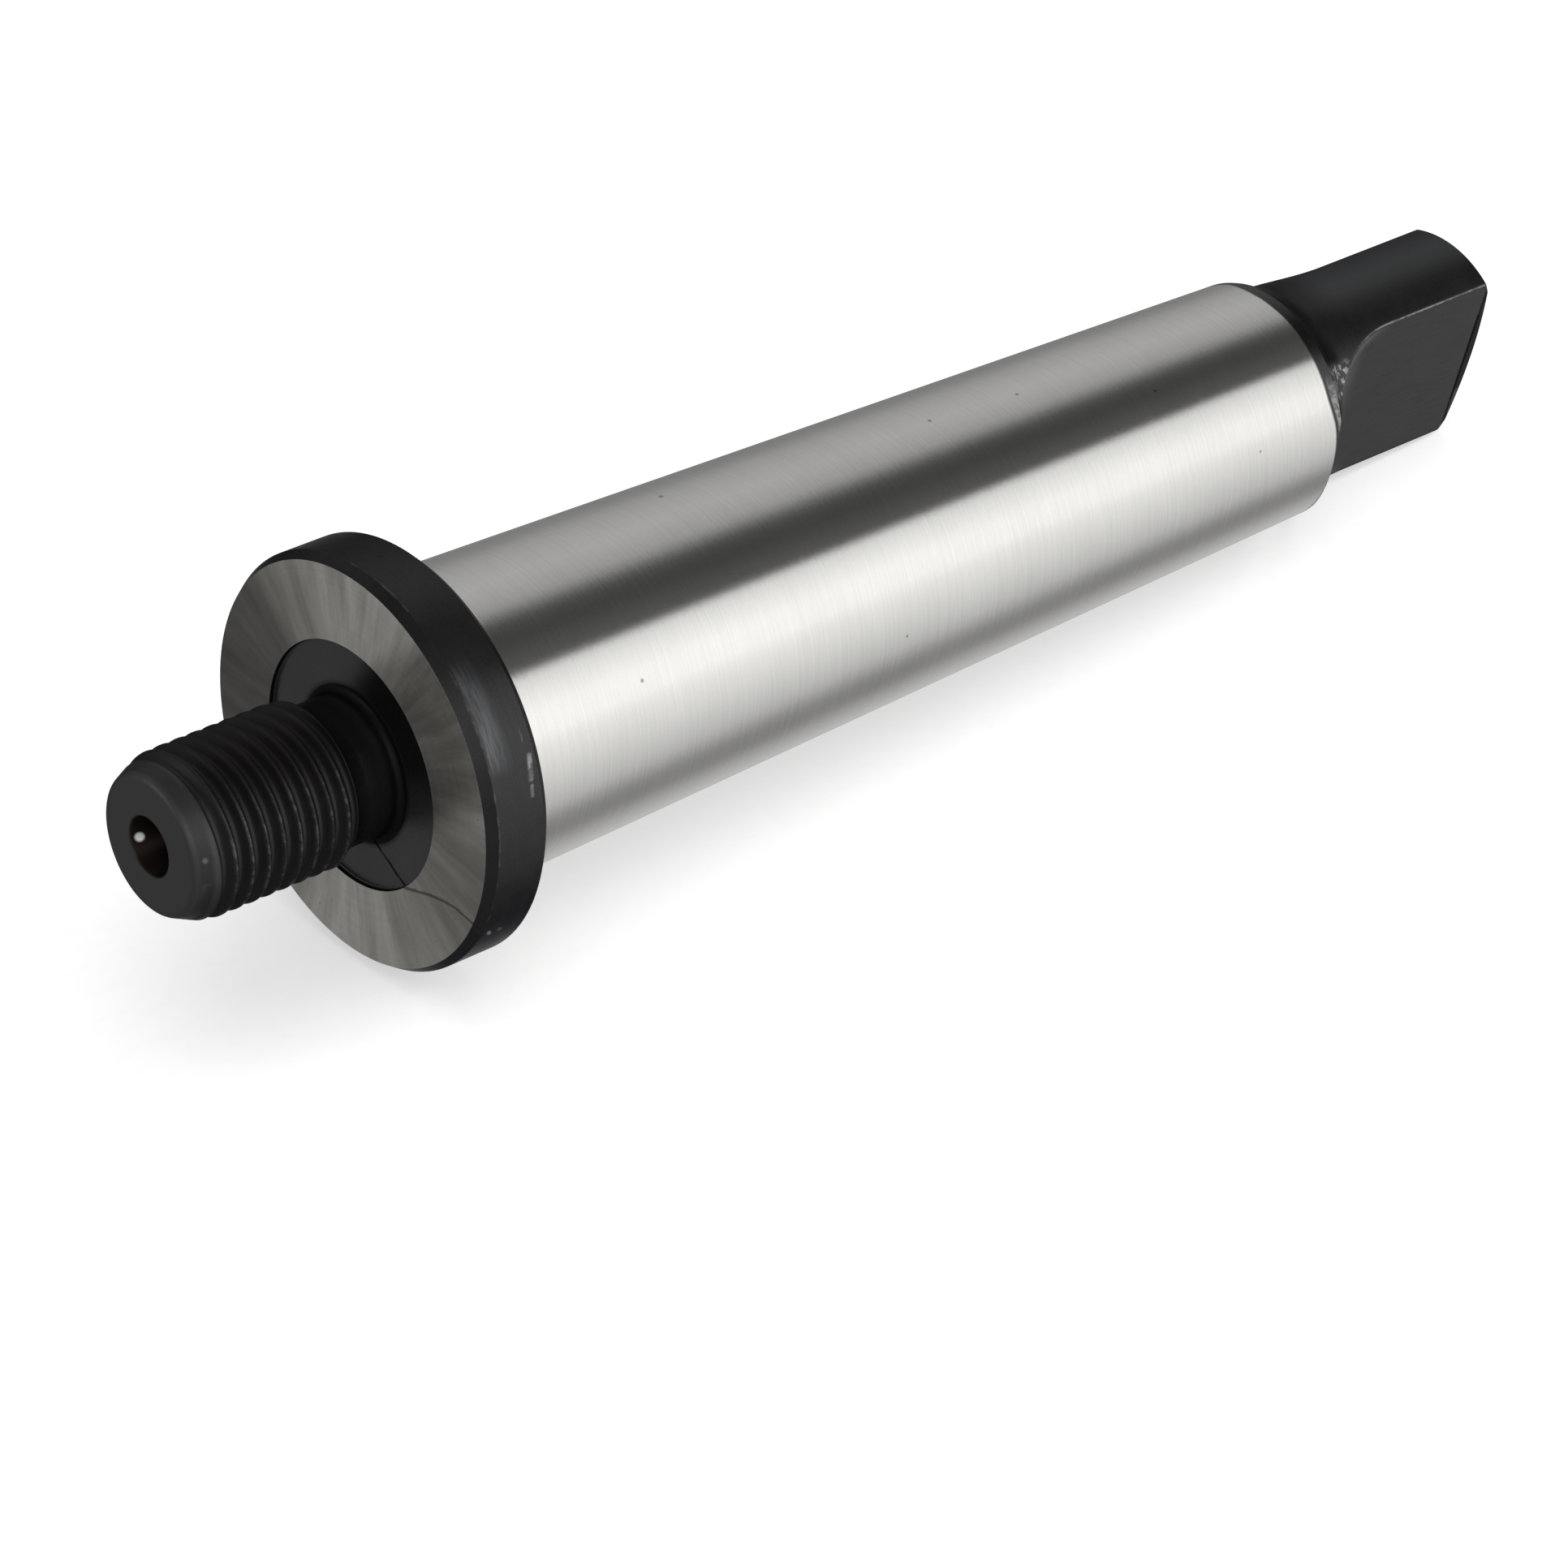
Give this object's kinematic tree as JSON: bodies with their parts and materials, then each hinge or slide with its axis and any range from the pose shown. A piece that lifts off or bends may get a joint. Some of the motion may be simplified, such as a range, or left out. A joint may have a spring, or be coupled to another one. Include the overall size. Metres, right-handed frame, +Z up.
{
  "type": "drill chuck arbor",
  "caption": "Tool arbor that holds a threaded-mount drill chuck: No. 2 Morse taper shank with a flat tang, a round collar and a threaded stud.",
  "frame": {"origin": "on the bench, under the centre of the arbor's box, as it lies at rest on its collar's rim and its tang's end", "axes": "+X along the arbor from the stud to the tang, which slopes down by 3.88 degrees that way; +Z up"},
  "size_m": [0.0988, 0.024, 0.0241],
  "materials": {
    "steel": "ground bright on the taper and the collar's front face, satin black oxide everywhere else"
  },
  "bodies": {
    "root": {"chuck_arbor": "steel"}
  },
  "joints": []
}
